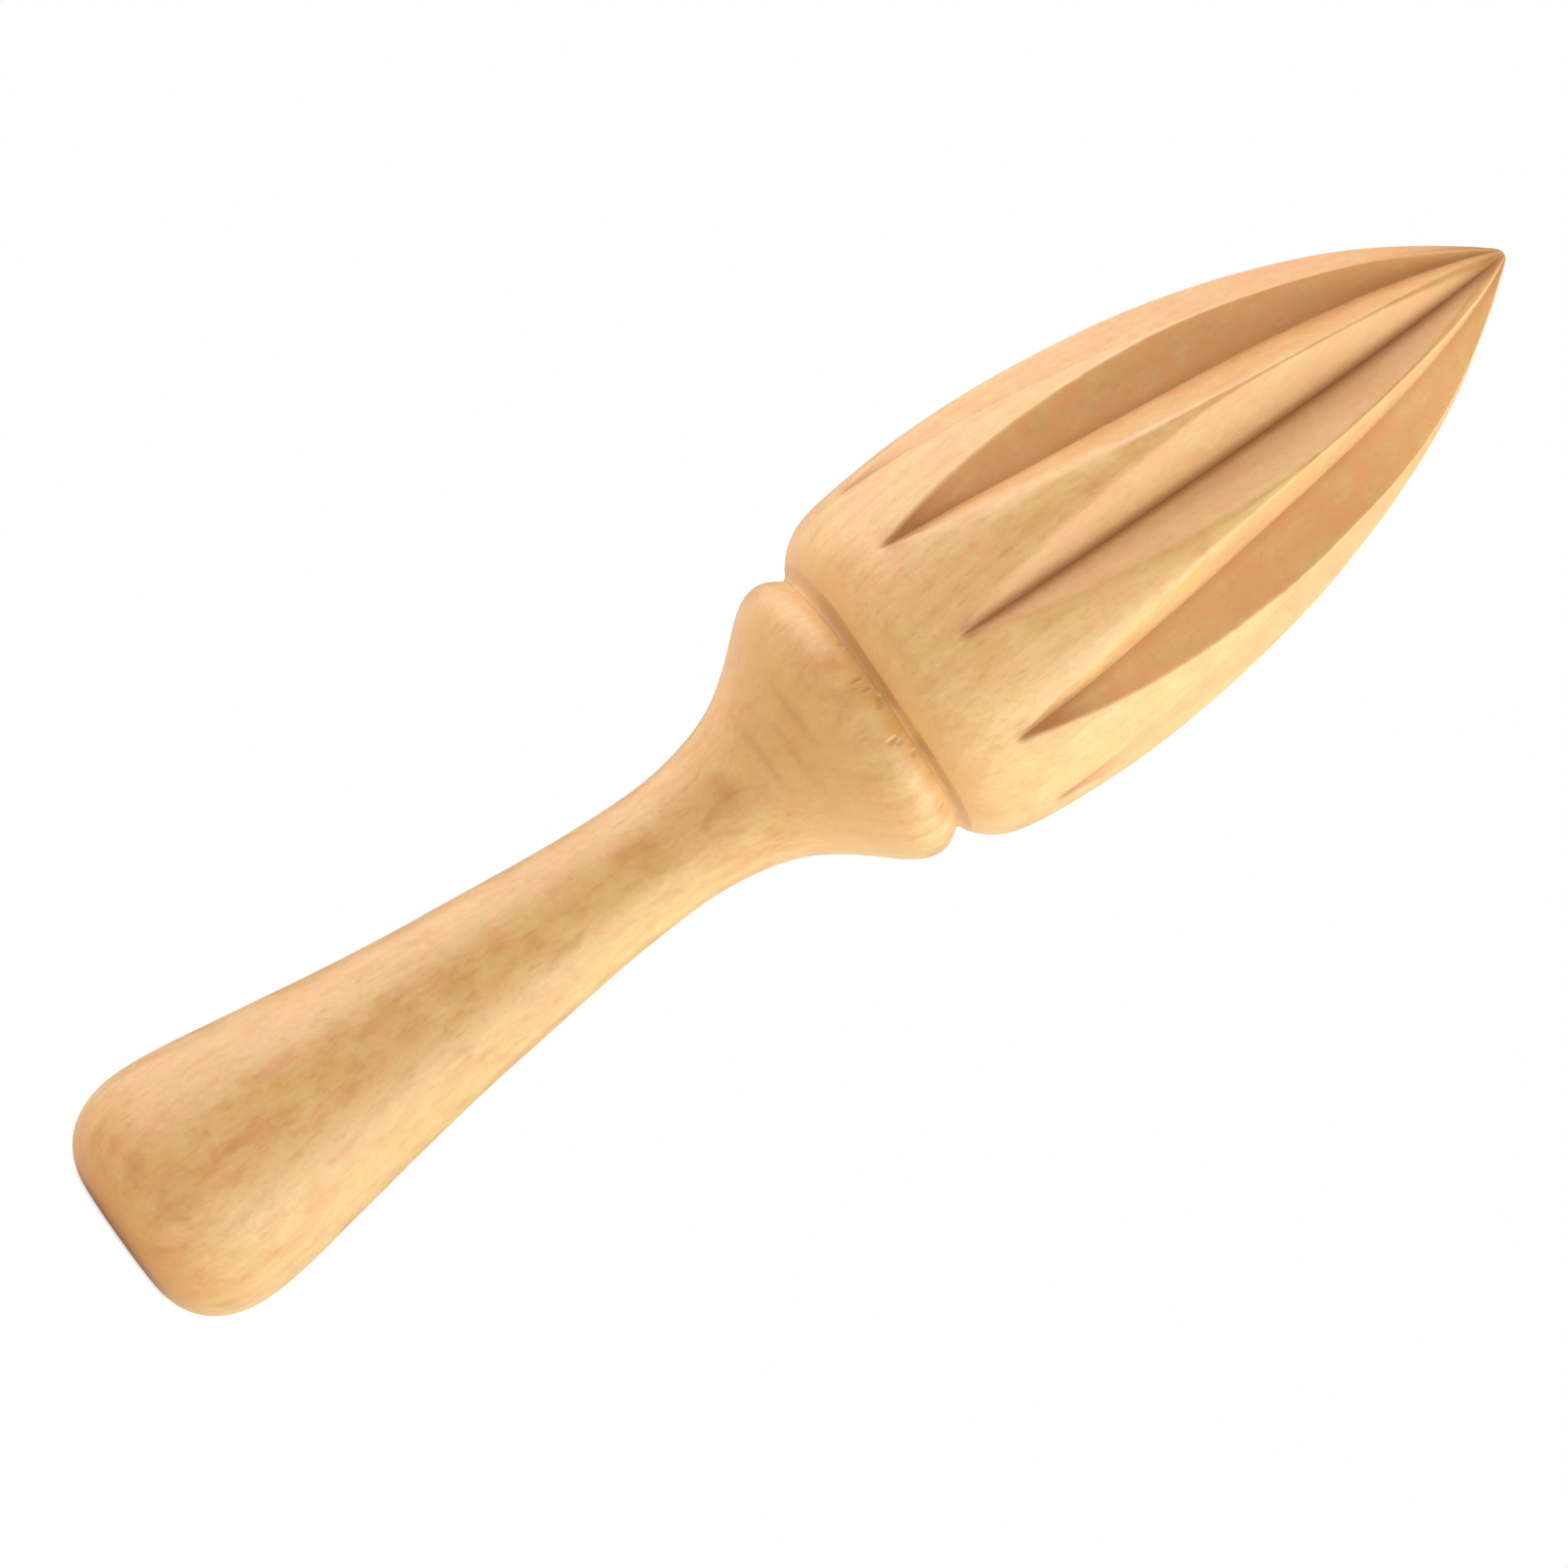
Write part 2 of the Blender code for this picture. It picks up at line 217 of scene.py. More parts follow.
# faint turning lines: height, half width, depth (mm), middle and half span
# of the arc (degrees from the front)
TOOL_LINES = [(75.9, 0.36, 0.018, -12, 26), (80.4, 0.30, 0.013, -15, 20),
              (78.4, 0.26, 0.008, -4, 22), (83.1, 0.26, 0.010, 150, 50),
              (76.4, 0.30, 0.012, 170, 50), (66.0, 0.30, 0.008, 95, 40)]
# brown flecks and smudges in the wood, one of them painted shade: angle from the
# front (degrees), height, half width, half height (mm), strength
HANDLE_STAINS_AND_SHADE = [
    (-21, 5.2, 1.6, 1.1, 0.80), (-36, 4.9, 1.3, 0.9, 0.45),
    (-7, 7.4, 3.0, 1.7, 0.40), (5, 8.3, 0.6, 0.9, 0.45),
    (17, 2.1, 1.1, 0.8, 0.45), (-3, 13.3, 0.6, 3.4, 0.50),
    # the smudge at -15 degrees, 30.6 mm is painted shade along the edge of the
    # grip's shaded front
    (7, 12.4, 0.6, 1.1, 0.55), (-15, 30.6, 0.5, 1.7, 0.45),
    (4, 33.4, 0.6, 1.5, 0.55), (30, 36.6, 0.5, 0.9, 0.45),
    (-4, 38.9, 0.6, 1.1, 0.55), (8, 43.0, 0.5, 1.2, 0.40),
    (32, 44.7, 0.5, 0.9, 0.50), (-12, 45.0, 1.1, 0.9, 0.35),
    (18, 50.2, 0.6, 1.6, 0.60), (0, 53.2, 0.9, 1.1, 0.55),
    (-19, 60.8, 0.6, 2.2, 0.40), (-4, 62.4, 1.2, 1.1, 0.45),
    (-8, 71.2, 1.9, 1.1, 0.75), (-6, 68.9, 0.8, 0.7, 0.40),
    (24, 82.9, 0.6, 0.8, 0.40), (-18, 80.4, 1.6, 0.6, 0.22),
    (-18, 76.0, 2.4, 0.6, 0.22), (-29, 84.0, 2.4, 1.0, 0.30),
    (84, 22.0, 0.7, 3.0, 0.45), (118, 9.0, 1.8, 1.4, 0.45),
    (150, 47.0, 0.8, 2.2, 0.45), (-100, 34.0, 0.7, 2.4, 0.45),
    (-140, 14.0, 1.4, 1.6, 0.50), (-166, 66.0, 1.0, 1.5, 0.50),
    (104, 70.0, 1.2, 1.0, 0.45), (-78, 79.0, 1.6, 0.6, 0.35)]
HEAD_STAINS = [
    (-12, 91.5, 0.9, 0.7, 0.50), (-1, 91.8, 0.6, 0.5, 0.35),
    (15, 93.9, 0.6, 1.1, 0.35), (63, 93.6, 0.7, 0.6, 0.35),
    (-48, 91.4, 1.2, 0.7, 0.40), (63, 90.7, 1.6, 0.8, 0.45),
    (104, 97.0, 1.4, 1.6, 0.40), (160, 92.5, 1.0, 0.8, 0.45),
    (-125, 94.0, 0.8, 2.0, 0.40), (-90, 101.0, 0.6, 2.6, 0.35)]


def stain_and_shade_mask(stains, front, r, z):
    """Soft-edged smudges, 0 to 1, at one ring of points."""
    mask = np.zeros(len(front))
    for where, height, wide, tall, strength in stains:
        if abs(z - height) < 2.2 * tall:
            off = ((front - where + 180) % 360 - 180) * math.pi / 180 * r
            sway = 0.5 * wide * (2 * wander(33.0, z * 1.3, where, 0.0) - 1)
            d2 = ((off - sway) / wide)**2 + ((z - height) / tall)**2
            mask = np.maximum(mask, strength * np.exp(-0.9 * d2**1.3))
    return mask


def seam_shade_share(front):
    """How dark the glue line and the painted shade under the head's lip are at
    angles from the front (degrees): darkest on the left and in the middle,
    lighter right of the middle where the right-hand lamps reach into the groove."""
    share = np.full(front.shape, 0.45)
    for low, high, value, soft in ((-47, 6.5, 1.0, 8.0), (7.5, 19.0, 0.38, 2.0),
                                   (19.5, 30.0, 1.0, 2.5),
                                   (31.0, 74.0, 0.72, 5.0),
                                   (-170, -120, 0.9, 8.0)):
        rise = np.clip((front - low) / soft + 0.5, 0, 1)
        fall = np.clip((high - front) / soft + 0.5, 0, 1)
        gate = rise * rise * (3 - 2 * rise) * fall * fall * (3 - 2 * fall)
        share = share + (value - share) * gate
    return share


def handle_piece():
    angles = np.linspace(0.0, 2 * math.pi, HANDLE_COLUMNS, endpoint=False)
    front = np.degrees(np.arctan2(np.cos(angles), -np.sin(angles)))
    outline = [(1.2, 0.0), (3.0, 0.0), (5.0, 0.0)]
    outline += bezier((BUTT_FLAT_R, 0.0),
                      (BUTT_FLAT_R + BUTT_DOME[0], BUTT_DOME[1]),
                      (BUTT_R, BUTT_Z - BUTT_CORNER), (BUTT_R, BUTT_Z), 24)
    steps = (16, 24, 28, 11, 16, 19, 22)
    for a, b, count in zip(GRIP_KNOTS, GRIP_KNOTS[1:], steps):
        for i in range(1, count + 1):
            z = a[1] + (b[1] - a[1]) * i / count
            outline.append((hermite(a, b, z), z))
    outline += bezier((COLLAR_R, COLLAR_Z), (COLLAR_R, COLLAR_Z + 1.2),
                      (COLLAR_TOP_R + 0.45, COLLAR_TOP_Z - 0.7),
                      (COLLAR_TOP_R, COLLAR_TOP_Z), 16)[1:]
    tenon_end = COLLAR_TOP_Z + TENON_LENGTH
    outline += [(9.5, COLLAR_TOP_Z), (TENON_R, COLLAR_TOP_Z),
                (TENON_R, tenon_end - TENON_CHAMFER),
                (TENON_R - TENON_CHAMFER, tenon_end), (2.0, tenon_end)]
    rings, marks, torn, seam_and_shade, smudge_and_shade = [], [], [], [], []
    for r, z in outline:
        inner = z > COLLAR_TOP_Z - 0.001 and r < COLLAR_TOP_R - 0.1
        mark = np.zeros(len(angles))
        tear = np.zeros(len(angles))
        cut = np.zeros(len(angles))
        if not inner and z > 0.01:
            # hand sanding leaves the turning a little out of true
            cut += 0.035 * wander(3.1, z * 0.21, 0.0, 0.0)
            cut += [0.06 * wander(9.7, math.cos(t) * r * 0.09,
                                  math.sin(t) * r * 0.09, z * 0.035)
                    for t in angles]
            for height, width, depth, middle, span in TOOL_LINES:
                if abs(z - height) < 3 * width:
                    away = np.abs((front - middle + 180) % 360 - 180)
                    share = np.clip((span - away) / (0.5 * span), 0, 1)
                    share = share * share * (3 - 2 * share)
                    mark = np.maximum(mark, share * bump_at(z, height, width))
                    cut += depth * share * bump_at(z, height, width)
            if abs(z - 86.8) < 2.4:
                for where, height, wide, tall, depth in CHIPS:
                    off = ((front - where + 180) % 360 - 180) * math.pi / 180 * r
                    ragged = np.array([0.6 + 0.8 * wander(21.0, o * 2.6, z * 2.6,
                                                          where) for o in off])
                    d2 = (off / wide)**2 + ((z - height) / tall)**2
                    share = np.clip(1.25 - d2 * ragged, 0, 1)
                    share = share * share * (3 - 2 * share)
                    tear = np.maximum(tear, share)
                    cut += depth * share
        rings.append(circle(r - cut, z, angles))
        marks.append(mark)
        torn.append(tear)
        smudge_and_shade.append(stain_and_shade_mask(() if inner else HANDLE_STAINS_AND_SHADE, front, r, z))
        # glue line with painted shade: the collar's top rounding next to the
        # joint is darkened
        near = max(0.0, 1.0 - (COLLAR_TOP_Z - z) / 0.40) if r > 13 else 0.0
        seam_and_shade.append(0.4 * near * near * seam_shade_share(front))
    return lathe_mesh("squeezer_handle", rings, (0, 0, 0), (0, 0, tenon_end),
                      {"tool_line": marks, "torn": torn, "seam_and_shade": seam_and_shade,
                       "smudge_and_shade": smudge_and_shade})


def side_columns(half, reach, surface):
    """Angles from a flute's floor line over one wall to the land's middle."""
    valley = min(0.24 / surface, 0.25 * half)
    inner = min(0.30 / surface, 0.35 * half)
    outer = min(0.30 / surface, 0.6 * (reach - half))
    return np.array([valley * x for x in (0.0, 0.25, 0.5, 1.0)]
                    + [valley + (half - inner - valley) * i / 5
                       for i in range(1, 6)]
                    + [half - inner + (inner + outer) * i / 6
                       for i in range(1, 7)]
                    + [half + outer + (reach - half - outer) * i / 3
                       for i in range(1, 4)])


def edge_wear(k, side, z, soft):
    """Rounding (mm) of the edge on one side of flute k, 0 left, 1 right."""
    k %= FLUTES
    return (0.16 + 0.24 * wander(5.5, z * 0.10, k * 3.7, 0.0)
            + EDGE_SANDING[k][side] * soft)


def flute_section(k, z, surface):
    """One pitch of the head's section: angles, wall radius, floor, crest."""
    half_pitch = math.pi / FLUTES
    floor = floor_radius(z) - FLUTE_EXTRA[k] * bump_at(z, 96.5, 5.5)
    sin_a = math.sin(FLUTE_HALF_ANGLE)
    ratio = min(floor / surface * sin_a, sin_a)
    half = min(FLUTE_HALF_ANGLE - math.asin(ratio), half_pitch - LAND_MIN / 2)
    top = surface
    if half > half_pitch - LAND_MIN / 2 - 1e-6:
        top = min(surface, floor * sin_a / math.sin(FLUTE_HALF_ANGLE - half))
    share = min(max((z - 108.0) / 32.0, 0.0), 1.0)
    skew = math.radians(FLUTE_SKEW[k]) * share * share * (3 - 2 * share)
    late = min(max((z - 132.0) / 20.0, 0.0), 1.0)
    late *= min(max((163.2 - z) / 3.0, 0.0), 1.0)
    late = late * late * (3 - 2 * late)
    angles, away, walls, sanding, wear = [], [], [], [], []
    soft = min(max((z - 98.0) / 8.0, 0.0), 1.0) * min(max((163.0 - z) / 16.0,
                                                        0.0), 1.0)
    for sign in (-1.0, 1.0):
        shift = math.radians(CREST_SHIFT[k if sign > 0 else k - 1]) * late
        off = sign * (shift - skew)
        wide = max(half, math.radians(2.2))
        stops = side_columns(max(wide + off, math.radians(1.5)),
                             half_pitch + off, surface)
        lean = 0.05 / max(surface, 1.0)
        smooth = np.sqrt(stops**2 + lean**2) - lean * 0.55
        slope = FLUTE_HALF_ANGLE
        if abs(off) > 1e-5 and floor < top - 0.05:
            h = max(half + off, math.radians(1.5))
            slope = math.atan2(top * math.sin(h), top * math.cos(h) - floor)
            slope = min(slope, math.radians(80.0))
        wall = floor * math.sin(slope) / np.sin(
            np.maximum(slope - smooth, 0.12))
        # both sides of a crest are rounded alike where they meet on it, and
        # little where two walls meet there
        side = 0 if sign < 0 else 1
        own = edge_wear(k, side, z, soft)
        shared = 0.5 * (own + edge_wear(k + int(sign), 1 - side, z, soft))
        shared *= 1 - 0.8 * min(max((z - 116.0) / 14.0, 0.0), 1.0)
        blend = np.clip((stops / stops[-1] - 0.45) / 0.55, 0, 1)
        worn = own + (shared - own) * blend * blend * (3 - 2 * blend)
        sanded = np.full(len(wall), EDGE_SANDING[k][side] * soft)
        if sign < 0:
            angles.append(skew - stops[:0:-1])
            away.append(stops[:0:-1])
            walls.append(wall[:0:-1])
            sanding.append(sanded[:0:-1])
            wear.append(worn[:0:-1])
        else:
            angles.append(skew + stops[:-1])
            away.append(stops[:-1])
            walls.append(wall[:-1])
            sanding.append(sanded[:-1])
            wear.append(worn[:-1])
    return (np.concatenate(angles), np.concatenate(away),
            np.concatenate(walls), floor, top, np.concatenate(sanding),
            np.concatenate(wear))


def head_piece():
    half_pitch = math.pi / FLUTES
    # hollow underside from the joint out to a small rounded lip
    heights = bezier((HEAD_BASE_R, HEAD_BASE_Z), (HEAD_BASE_R + 0.02, 88.42),
                     (RIM_R - 0.75, 88.58), (RIM_R - 0.08, RIM_Z - 0.07), 8)
    heights += [(RIM_R - 0.02, RIM_Z - 0.03)]
    heights += bezier((RIM_R + 0.04, RIM_Z + 0.02), (RIM_R + 2.2, RIM_Z + 1.64),
                      (SHOULDER_R - 2.6 * SHOULDER_SLOPE, SHOULDER_Z - 2.6),
                      (SHOULDER_R, SHOULDER_Z), 26)
    z = SHOULDER_Z
    while z < LENGTH - 0.02:
        z += 0.26 if z < 104 else (0.42 if z < 150 else
                                   (0.26 if z < 162 else 0.10))
        if z < LENGTH - 0.02:
            heights.append((head_radius(z), z))
    socket_end = COLLAR_TOP_Z + TENON_LENGTH + SOCKET_END_GAP
    socket_r = TENON_R + JOINT_GAP
    inside = [(2.5, socket_end), (socket_r, socket_end),
              (socket_r, 0.5 * (HEAD_BASE_Z + socket_end)),
              (socket_r, HEAD_BASE_Z), (9.5, HEAD_BASE_Z),
              (12.5, HEAD_BASE_Z)]
    rings, milled, valley, seam_and_shade, smudge_and_shade = [], [], [], [], []
    for order, (r, z) in enumerate(inside + heights):
        within = order < len(inside)
        surface = max(r, 0.02)
        sections = [flute_section(k, max(z, SHOULDER_Z), max(surface, 0.3))
                    for k in range(FLUTES)]
        turn = flute_turn(max(z, FLUTE_START_Z)) - math.pi / 2
        angles = np.concatenate([turn + k * 2 * half_pitch + part[0]
                                 for k, part in enumerate(sections)])
        away = np.concatenate([part[1] for part in sections])
        columns = len(sections[0][0])
        if within or z < SHOULDER_Z:
            radius = np.full(len(angles), surface)
            cut_wall = np.zeros(len(angles))
            line = np.zeros(len(angles))
        else:
            wall = np.concatenate([part[2] for part in sections])
            floor = np.repeat([part[3] for part in sections], columns)
            top = np.repeat([min(part[4], surface) for part in sections],
                            columns)
            rubbed = np.concatenate([part[5] for part in sections])
            wear = np.concatenate([part[6] for part in sections])
            wear = np.minimum(wear, np.minimum(
                0.07 * surface + 0.02, 0.5 * np.maximum(top - floor, 0) + 0.2))
            radius = soft_min(top, wall, wear)
            depth = top - radius
            cut_wall = np.clip((depth - 0.06) / 0.16, 0, 1)
            cut_wall *= 1 - 0.9 * np.clip(rubbed, 0, 1)
            # the lands are too narrow near the tip to keep a colour of their own
            cut_wall = np.maximum(cut_wall, 0.6 * min(max((z - 126.0) / 14.0,
                                                          0.0), 1.0))
            # painted shade: each flute's floor line is darkened where the V
            # closes, along with the cutter's burn
            spread = (0.62 + 0.26 * min(max((z - 128.0) / 14.0, 0.0), 1.0)
                      + 0.24 * min(max((120.0 - z) / 14.0, 0.0), 1.0))
            line = np.exp(-np.abs(away * surface / spread)**2.6) * np.clip(
                (surface - floor) / 0.30, 0, 1)
            # the walls made darker at each flute's lower end
            early = min(max((108.0 - z) / 8.0, 0.0), 1.0)
            burn_and_shade = np.repeat(VALLEY_BURN_AND_SHADE, columns)
            line *= burn_and_shade + (1 - burn_and_shade) * early
            lower_darkening = np.repeat(WALL_LOWER_DARKENING, columns) * bump_at(z, 98.0, 5.2)
            line = np.maximum(line, cut_wall * lower_darkening)
        cut = np.zeros(len(angles))
        if not within:
            cut += 0.035 * wander(13.1, z * 0.21, 0.0, 0.0)
            cut += np.array([0.06 * wander(19.7, math.cos(t) * r * 0.09,
                                           math.sin(t) * r * 0.09, z * 0.035)
                             for t in angles])
            cut *= min(1.0, surface / 6.0)
        ring = circle(radius - cut, z, angles)
        front = np.degrees(np.arctan2(np.cos(angles), -np.sin(angles)))
        if not within and z < SHOULDER_Z:
            share = (min((z - HEAD_BASE_Z) / (RIM_Z - HEAD_BASE_Z), 1.0) if
                     z < RIM_Z else (SHOULDER_Z - z) / (SHOULDER_Z - RIM_Z))
            ring[:, 2] += np.interp(front, LIP_ANGLES, LIP_RISE) * share
        rings.append(ring)
        smudge_and_shade.append(stain_and_shade_mask(() if within else HEAD_STAINS, front,
                                 surface, z))
        milled.append(cut_wall)
        valley.append(line)
        # painted shade: the head's whole hollow underside below its lip is
        # darkened, along with the glue line at the joint
        near = 0.0
        if r > 13:
            near = min(1.0, max(0.0, (RIM_Z + 0.03 - z) / 0.12))
        seam_and_shade.append(near * seam_shade_share(front))
    return lathe_mesh("squeezer_head", rings, (0, 0, socket_end),
                      (0, 0, LENGTH), {"milled": milled, "valley": valley,
                                       "seam_and_shade": seam_and_shade, "smudge_and_shade": smudge_and_shade})


# ---------------------------------------------------------------- materials
class Tree:
    """Short names for the nodes that the wood is made of."""

    def __init__(self, material):
        material.use_nodes = True
        self.nt = material.node_tree
        self.shader = self.nt.nodes["Principled BSDF"]
        self.x = -300

    def node(self, kind, **settings):
        made = self.nt.nodes.new(kind)
        self.x -= 40
        made.location = (self.x, -self.x * 0.6 % 900)
        for key, value in settings.items():
            setattr(made, key, value)
        return made

    def put(self, socket, value):
        if isinstance(value, bpy.types.NodeSocket):
            self.nt.links.new(value, socket)
        else:
            socket.default_value = value

    def math(self, operation, a, b=0.0, c=None, clamp=False):
        made = self.node("ShaderNodeMath", operation=operation, use_clamp=clamp)
        self.put(made.inputs[0], a)
        self.put(made.inputs[1], b)
        if c is not None:
            self.put(made.inputs[2], c)
        return made.outputs[0]

    def stretch(self, vector, scale, shift=(0.0, 0.0, 0.0)):
        made = self.node("ShaderNodeMapping", vector_type="POINT")
        self.put(made.inputs["Vector"], vector)
        made.inputs["Scale"].default_value = scale
        made.inputs["Location"].default_value = shift
        return made.outputs[0]

    def noise(self, vector, scale=1.0, detail=2.0, rough=0.5, warp=0.0):
        made = self.node("ShaderNodeTexNoise")
        self.put(made.inputs["Vector"], vector)
        made.inputs["Scale"].default_value = scale
        made.inputs["Detail"].default_value = detail
        made.inputs["Roughness"].default_value = rough
        made.inputs["Distortion"].default_value = warp
        return made.outputs["Fac"]

    def band(self, value, low, high, to_low=0.0, to_high=1.0, smooth=True):
        made = self.node("ShaderNodeMapRange", interpolation_type=(
            "SMOOTHSTEP" if smooth else "LINEAR"), clamp=True)
        self.put(made.inputs["Value"], value)
        made.inputs["From Min"].default_value = low
        made.inputs["From Max"].default_value = high
        made.inputs["To Min"].default_value = to_low
        made.inputs["To Max"].default_value = to_high
        return made.outputs["Result"]

    def mix(self, share, a, b, blend="MIX"):
        made = self.node("ShaderNodeMix", data_type="RGBA", blend_type=blend,
                         clamp_factor=True)
        self.put(made.inputs[0], share)
        self.put(made.inputs[6], a)
        self.put(made.inputs[7], b)
        return made.outputs[2]

    def attribute(self, name):
        made = self.node("ShaderNodeAttribute", attribute_type="GEOMETRY",
                         attribute_name=name)
        return made.outputs["Fac"]


def shade(colour, factor):
    return tuple(c * f for c, f in zip(colour, factor)) + (1.0,)


WOOD = (0.685, 0.392, 0.150)


def wood_material(name, pith, shift, masks):
    """Fine, pale orange hardwood: rings, fibres, rays and turned end grain."""
    material = bpy.data.materials.new(name)
    t = Tree(material)
    place = t.node("ShaderNodeTexCoord").outputs["Object"]
    mm = t.stretch(place, (1000.0, 1000.0, 1000.0), shift)

    # growth rings: nearly flat layers round a distant pith, a little wavy
    bend = t.noise(t.stretch(mm, (0.035, 0.035, 0.012)), 1.0, 2.0, 0.5)
    split = t.node("ShaderNodeSeparateXYZ")
    t.put(split.inputs[0], mm)
    dx = t.math("ADD", split.outputs[0], -pith[0])
    dy = t.math("ADD", split.outputs[1], -pith[1])
    lean = t.math("MULTIPLY", split.outputs[2], 0.035)
    dx = t.math("ADD", dx, lean)
    reach = t.math("SQRT", t.math("ADD", t.math("MULTIPLY", dx, dx),
                                  t.math("MULTIPLY", dy, dy)))
    reach = t.math("ADD", reach, t.math("MULTIPLY", bend, 5.0))
    year = t.math("DIVIDE", reach, 2.3)
    uneven = t.noise(t.stretch(mm, (0.05, 0.05, 0.02), (9, 4, 2)), 1.0, 1.0)
    year = t.math("ADD", year, t.math("MULTIPLY", uneven, 1.6))
    phase = t.math("FRACT", year)
    late = t.math("MULTIPLY", t.band(phase, 0.35, 0.90),
                  t.band(phase, 0.90, 1.0, 1.0, 0.0))

    # fibres, pores and rays all run along the axis
    fibre = t.noise(t.stretch(mm, (2.6, 2.6, 0.10)), 1.0, 3.0, 0.6)
    pores = t.noise(t.stretch(mm, (5.5, 5.5, 0.32), (3, 8, 1)), 1.0, 2.0, 0.6)
    rays = t.noise(t.stretch(mm, (1.9, 1.9, 0.42), (17, 5, 6)), 1.0, 1.0, 0.5,
                   0.4)
    fleck = t.band(rays, 0.64, 0.74)
    streak = t.noise(t.stretch(mm, (0.55, 0.55, 0.018), (2, 7, 5)), 1.0, 3.0,
                     0.55)
    cloud = t.noise(t.stretch(mm, (0.055, 0.055, 0.03), (31, 2, 8)), 1.0, 2.0,
                    0.5)
    blush = t.noise(t.stretch(mm, (0.17, 0.17, 0.09), (5, 23, 4)), 1.0, 2.0,
                    0.5)
    honey = t.noise(t.stretch(mm, (0.13, 0.13, 0.08), (41, 3, 14)), 1.0, 2.0,
                    0.5)
    # blotches a few millimetres across, where the fibres dip and rise
    mottle = t.noise(t.stretch(mm, (0.46, 0.46, 0.25), (7, 19, 3)), 1.0, 3.0,
                     0.55, 0.5)

    speckle = t.noise(t.stretch(mm, (1.5, 1.5, 0.8), (11, 2, 27)), 1.0, 2.0,
                      0.6, 0.3)
    rosy = t.noise(t.stretch(mm, (0.40, 0.40, 0.26), (3, 33, 12)), 1.0, 2.0,
                   0.55, 0.3)

    # end grain, where the surface cuts across the fibres
    normal = t.node("ShaderNodeNewGeometry").outputs["Normal"]
    across = t.node("ShaderNodeSeparateXYZ")
    t.put(across.inputs[0], normal)
    ends = t.band(t.math("ABSOLUTE", across.outputs[2]), 0.25, 0.88)

    # colour; the head is cut from a cleaner, paler piece than the handle
    figure = 0.72 if "milled" in masks else 1.0
    colour = t.mix(t.band(cloud, 0.30, 0.70), shade(WOOD, (0.95, 0.93, 0.86)),
                   shade(WOOD, (1.04, 1.06, 1.10)))
    colour = t.mix(t.band(blush, 0.46, 0.70, 0.0, 0.6), colour,
                   shade(WOOD, (1.05, 0.96, 1.06)))
    colour = t.mix(t.band(honey, 0.48, 0.72, 0.0, 0.6), colour,
                   shade(WOOD, (1.0, 1.03, 0.80)))
    colour = t.mix(t.math("MULTIPLY", late, 0.45), colour,
                   shade(WOOD, (0.93, 0.85, 0.74)))
    colour = t.mix(t.band(streak, 0.50, 0.74, 0.0, 0.45 * figure), colour,
                   shade(WOOD, (0.92, 0.84, 0.72)))
    colour = t.mix(t.band(streak, 0.46, 0.26, 0.0, 0.35), colour,
                   shade(WOOD, (1.07, 1.10, 1.16)))
    colour = t.mix(t.band(fibre, 0.35, 0.75, 0.0, 0.24), colour,
                   shade(WOOD, (0.90, 0.80, 0.66)))
    colour = t.mix(t.math("MULTIPLY", fleck, 0.32), colour,
                   shade(WOOD, (0.80, 0.66, 0.50)))
    colour = t.mix(t.band(pores, 0.58, 0.72, 0.0, 0.22), colour,
                   shade(WOOD, (0.78, 0.64, 0.48)))
    colour = t.mix(t.band(mottle, 0.53, 0.30, 0.0, figure), colour,
                   (0.94, 0.83, 0.70, 1.0), "MULTIPLY")
    colour = t.mix(t.band(mottle, 0.49, 0.74), colour,
                   (1.05, 1.09, 1.17, 1.0), "MULTIPLY")
    colour = t.mix(t.band(speckle, 0.50, 0.30), colour,
                   (0.96, 0.90, 0.80, 1.0), "MULTIPLY")
    colour = t.mix(t.band(speckle, 0.50, 0.70), colour,
                   (1.03, 1.06, 1.11, 1.0), "MULTIPLY")
    colour = t.mix(t.band(rosy, 0.48, 0.66), colour,
                   (1.025, 0.94, 0.955, 1.0), "MULTIPLY")
    colour = t.mix(t.band(rosy, 0.48, 0.30), colour,
                   (1.0, 1.01, 0.88, 1.0), "MULTIPLY")
    colour = t.mix(t.math("MULTIPLY", ends, 0.7), colour,
                   shade(WOOD, (1.08, 0.92, 0.66)))
    dark = []
    if "milled" in masks:
        tone = t.math("MULTIPLY", t.attribute("milled"),
                      t.band(rosy, 0.36, 0.62, 0.25, 0.85))
        colour = t.mix(tone, colour, shade(WOOD, (1.05, 0.81, 0.70)))
        # flute floor lines: cutter burn with painted shade in the crease, and
        # the walls darker at each flute's lower end
        colour = t.mix(t.math("MULTIPLY", t.attribute("valley"), 0.90), colour,
                       shade(WOOD, (0.58, 0.34, 0.12)))
        colour = t.mix(1.0, colour, (1.065, 1.08, 1.13, 1.0), "MULTIPLY")
    if "torn" in masks:
        colour = t.mix(t.math("MULTIPLY", t.attribute("tool_line"), 0.46),
                       colour, shade(WOOD, (0.82, 0.66, 0.46)))
        colour = t.mix(t.math("MULTIPLY", t.attribute("torn"), 0.5), colour,
                       shade(WOOD, (0.80, 0.68, 0.52)))
    # brown smudges in the wood, one of them painted shade at the edge of the
    # grip's shaded front
    patchy = t.math("MULTIPLY", t.attribute("smudge_and_shade"),
                    t.band(speckle, 0.25, 0.60, 0.55, 1.0))
    colour = t.mix(patchy, colour, (0.84, 0.66, 0.44, 1.0), "MULTIPLY")
    # dark glue line at the joint, with painted shade on the collar's top and
    # under the head's lip
    colour = t.mix(t.math("MULTIPLY", t.attribute("seam_and_shade"), 0.62), colour,
                   shade(WOOD, (0.60, 0.46, 0.32)))
    t.put(t.shader.inputs["Base Color"], colour)

